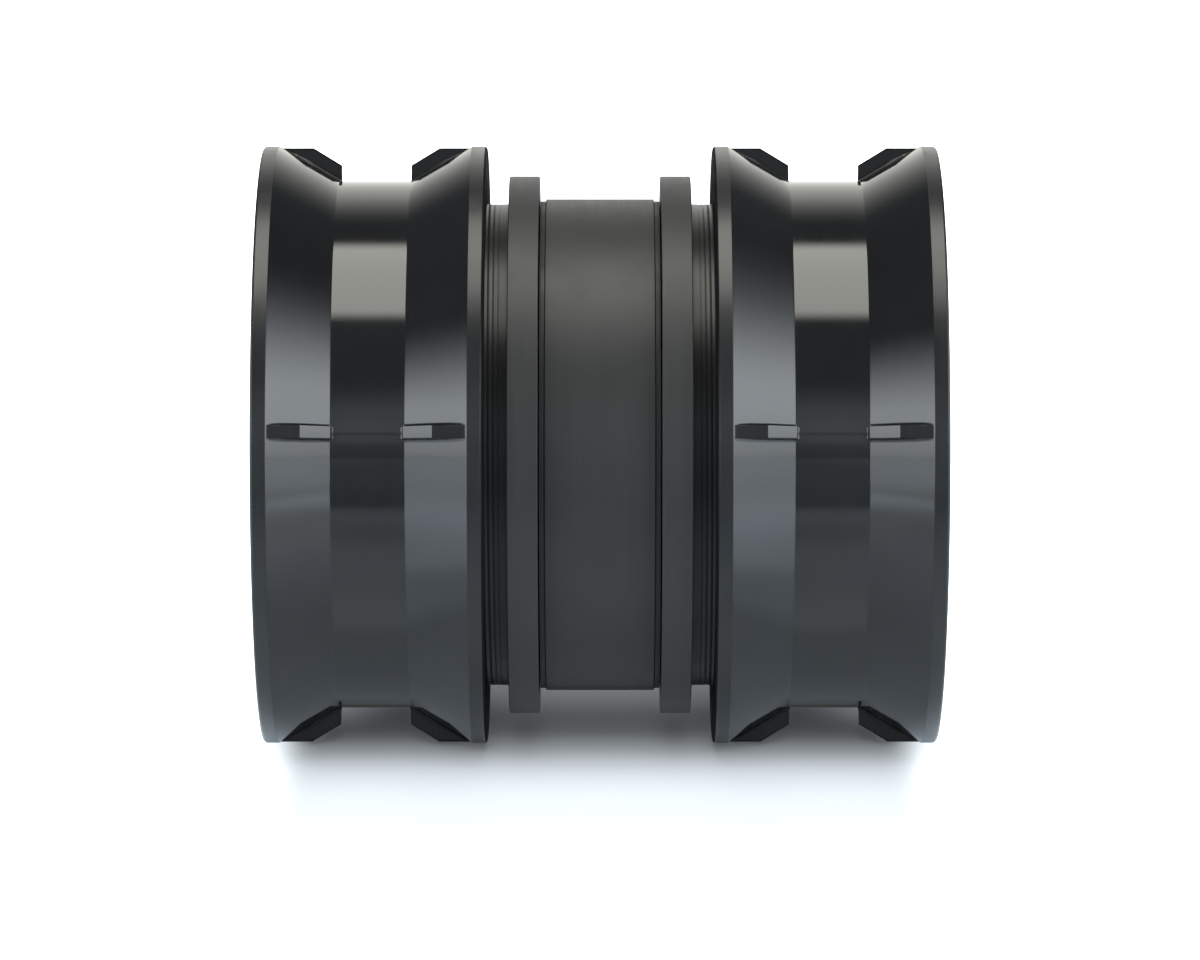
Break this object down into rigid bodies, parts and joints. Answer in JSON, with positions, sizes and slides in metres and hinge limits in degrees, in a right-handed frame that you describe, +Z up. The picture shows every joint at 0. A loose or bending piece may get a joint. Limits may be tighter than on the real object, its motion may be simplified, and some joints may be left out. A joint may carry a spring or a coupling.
{
  "type": "oldham coupling",
  "caption": "Black Oldham shaft coupling: two slotted hubs slide across a floating disc at right angles, with ribbed nuts that clamp a collet on each shaft.",
  "frame": {"origin": "middle of the floating disc, on the shaft axis", "axes": "+X along the shaft axis to the right end, +Z up along the left tongue, +Y to the back along the right tongue"},
  "size_m": [0.0674, 0.06, 0.06],
  "materials": {
    "nut_plastic": "glossy moulded black",
    "hub_plastic": "satin black, fine turned lines",
    "disc_plastic": "satin black",
    "washer_plastic": "matt dark grey",
    "pad_plastic": "waxy off-white sliding plastic",
    "bronze": "turned bearing bronze",
    "collet_steel": "ground steel",
    "spring_steel": "hardened steel",
    "screw_steel": "black oxide steel",
    "seal_rubber": "matt black rubber"
  },
  "bodies": {
    "left_hub_body": {"left_hub": "hub_plastic", "left_collet": "collet_steel", "left_collet_pin": "spring_steel"},
    "left_ring_body": {"left_thrust_ring": "bronze", "left_shaft_seal": "seal_rubber"},
    "left_nut_body": {"left_clamp_nut": "nut_plastic", "left_retaining_ring": "spring_steel", "left_lock_screws": "screw_steel"},
    "disc_body": {"centre_disc": "disc_plastic", "left_thrust_washer": "washer_plastic", "right_thrust_washer": "washer_plastic", "left_tongue_pads": "pad_plastic", "right_tongue_pads": "pad_plastic"},
    "right_hub_body": {"right_hub": "hub_plastic", "right_collet": "collet_steel", "right_collet_pin": "spring_steel"},
    "right_ring_body": {"right_thrust_ring": "bronze", "right_shaft_seal": "seal_rubber"},
    "right_nut_body": {"right_clamp_nut": "nut_plastic", "right_retaining_ring": "spring_steel", "right_lock_screws": "screw_steel"}
  },
  "joints": [
    {"name": "left_tongue_slide", "type": "slide", "parent": "left_hub_body", "child": "disc_body", "axis": [0, 0, 1], "range_m": [-0.002, 0.002]},
    {"name": "right_tongue_slide", "type": "slide", "parent": "disc_body", "child": "right_hub_body", "axis": [0, 1, 0], "range_m": [-0.002, 0.002]},
    {"name": "left_nut_travel", "type": "slide", "parent": "left_hub_body", "child": "left_ring_body", "axis": [-1, 0, 0], "range_m": [0, 0.0015]},
    {"name": "left_nut_turn", "type": "hinge", "parent": "left_ring_body", "child": "left_nut_body", "pos_m": [-0.0225, 0, 0], "axis": [-1, 0, 0], "range_deg": [0, 1080]},
    {"name": "right_nut_travel", "type": "slide", "parent": "right_hub_body", "child": "right_ring_body", "axis": [1, 0, 0], "range_m": [0, 0.0015]},
    {"name": "right_nut_turn", "type": "hinge", "parent": "right_ring_body", "child": "right_nut_body", "pos_m": [0.0225, 0, 0], "axis": [1, 0, 0], "range_deg": [0, 1080]}
  ],
  "couplings": [
    {"joint": "left_nut_travel", "follows": "left_nut_turn", "m_per_rad": 0.000079577},
    {"joint": "right_nut_travel", "follows": "right_nut_turn", "m_per_rad": 0.000079577}
  ]
}
